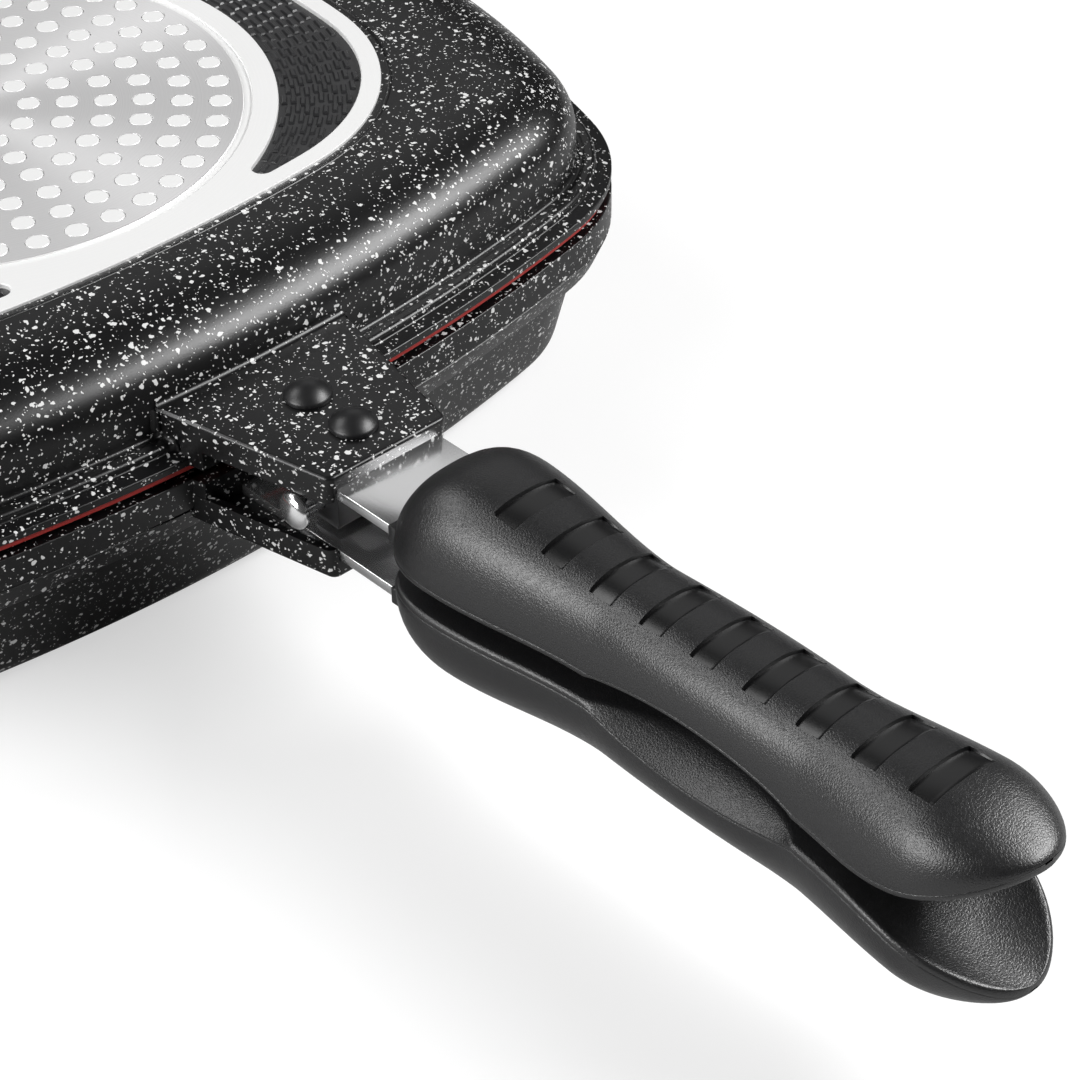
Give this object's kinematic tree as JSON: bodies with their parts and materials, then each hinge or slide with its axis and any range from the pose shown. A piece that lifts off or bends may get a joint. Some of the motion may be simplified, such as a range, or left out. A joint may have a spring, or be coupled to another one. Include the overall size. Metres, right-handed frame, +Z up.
{
  "type": "double sided flip pan",
  "caption": "Two shallow cast pans hinged at the back that close rim to rim, each with a riveted steel strap and a moulded grip, for turning food by flipping the closed pan.",
  "frame": {"origin": "centre of the underside of the lower base, on the surface the closed pan stands on", "axes": "+Z up through the upper base, +X to the right, the handles point to -Y and the hinge axis runs along X at the back (+Y)"},
  "size_m": [0.312, 0.4916, 0.0807],
  "materials": {
    "granite_coating": "black non-stick coating with dense white specks, semi-gloss",
    "silicone": "red silicone, satin",
    "induction_steel": "circular brushed steel",
    "polished_steel": "polished steel",
    "black_rivet": "gloss black",
    "grip_plastic": "black moulded plastic with a fine leather grain",
    "hinge_steel": "turned steel",
    "magnet": "black epoxy coated magnet"
  },
  "bodies": {
    "lower_half": {"lower_pan": "granite_coating", "lower_induction_disc": "induction_steel", "lower_handle_strap": "polished_steel", "lower_handle_rivets": "black_rivet", "lower_grip": "grip_plastic", "lower_grip_screw": "hinge_steel", "left_hinge_pin": "hinge_steel", "right_hinge_pin": "hinge_steel", "left_hinge_clip": "hinge_steel", "right_hinge_clip": "hinge_steel"},
    "upper_half": {"upper_pan": "granite_coating", "rim_gasket": "silicone", "upper_induction_disc": "induction_steel", "upper_handle_strap": "polished_steel", "upper_handle_rivets": "black_rivet", "upper_grip": "grip_plastic", "upper_grip_screw": "hinge_steel", "catch_bracket": "polished_steel", "catch_magnet": "magnet", "catch_pin": "polished_steel"}
  },
  "joints": [
    {"name": "pan_hinge", "type": "hinge", "parent": "lower_half", "child": "upper_half", "pos_m": [0, 0.1348, 0.05], "axis": [-1, 0, 0], "range_deg": [0, 180]}
  ]
}
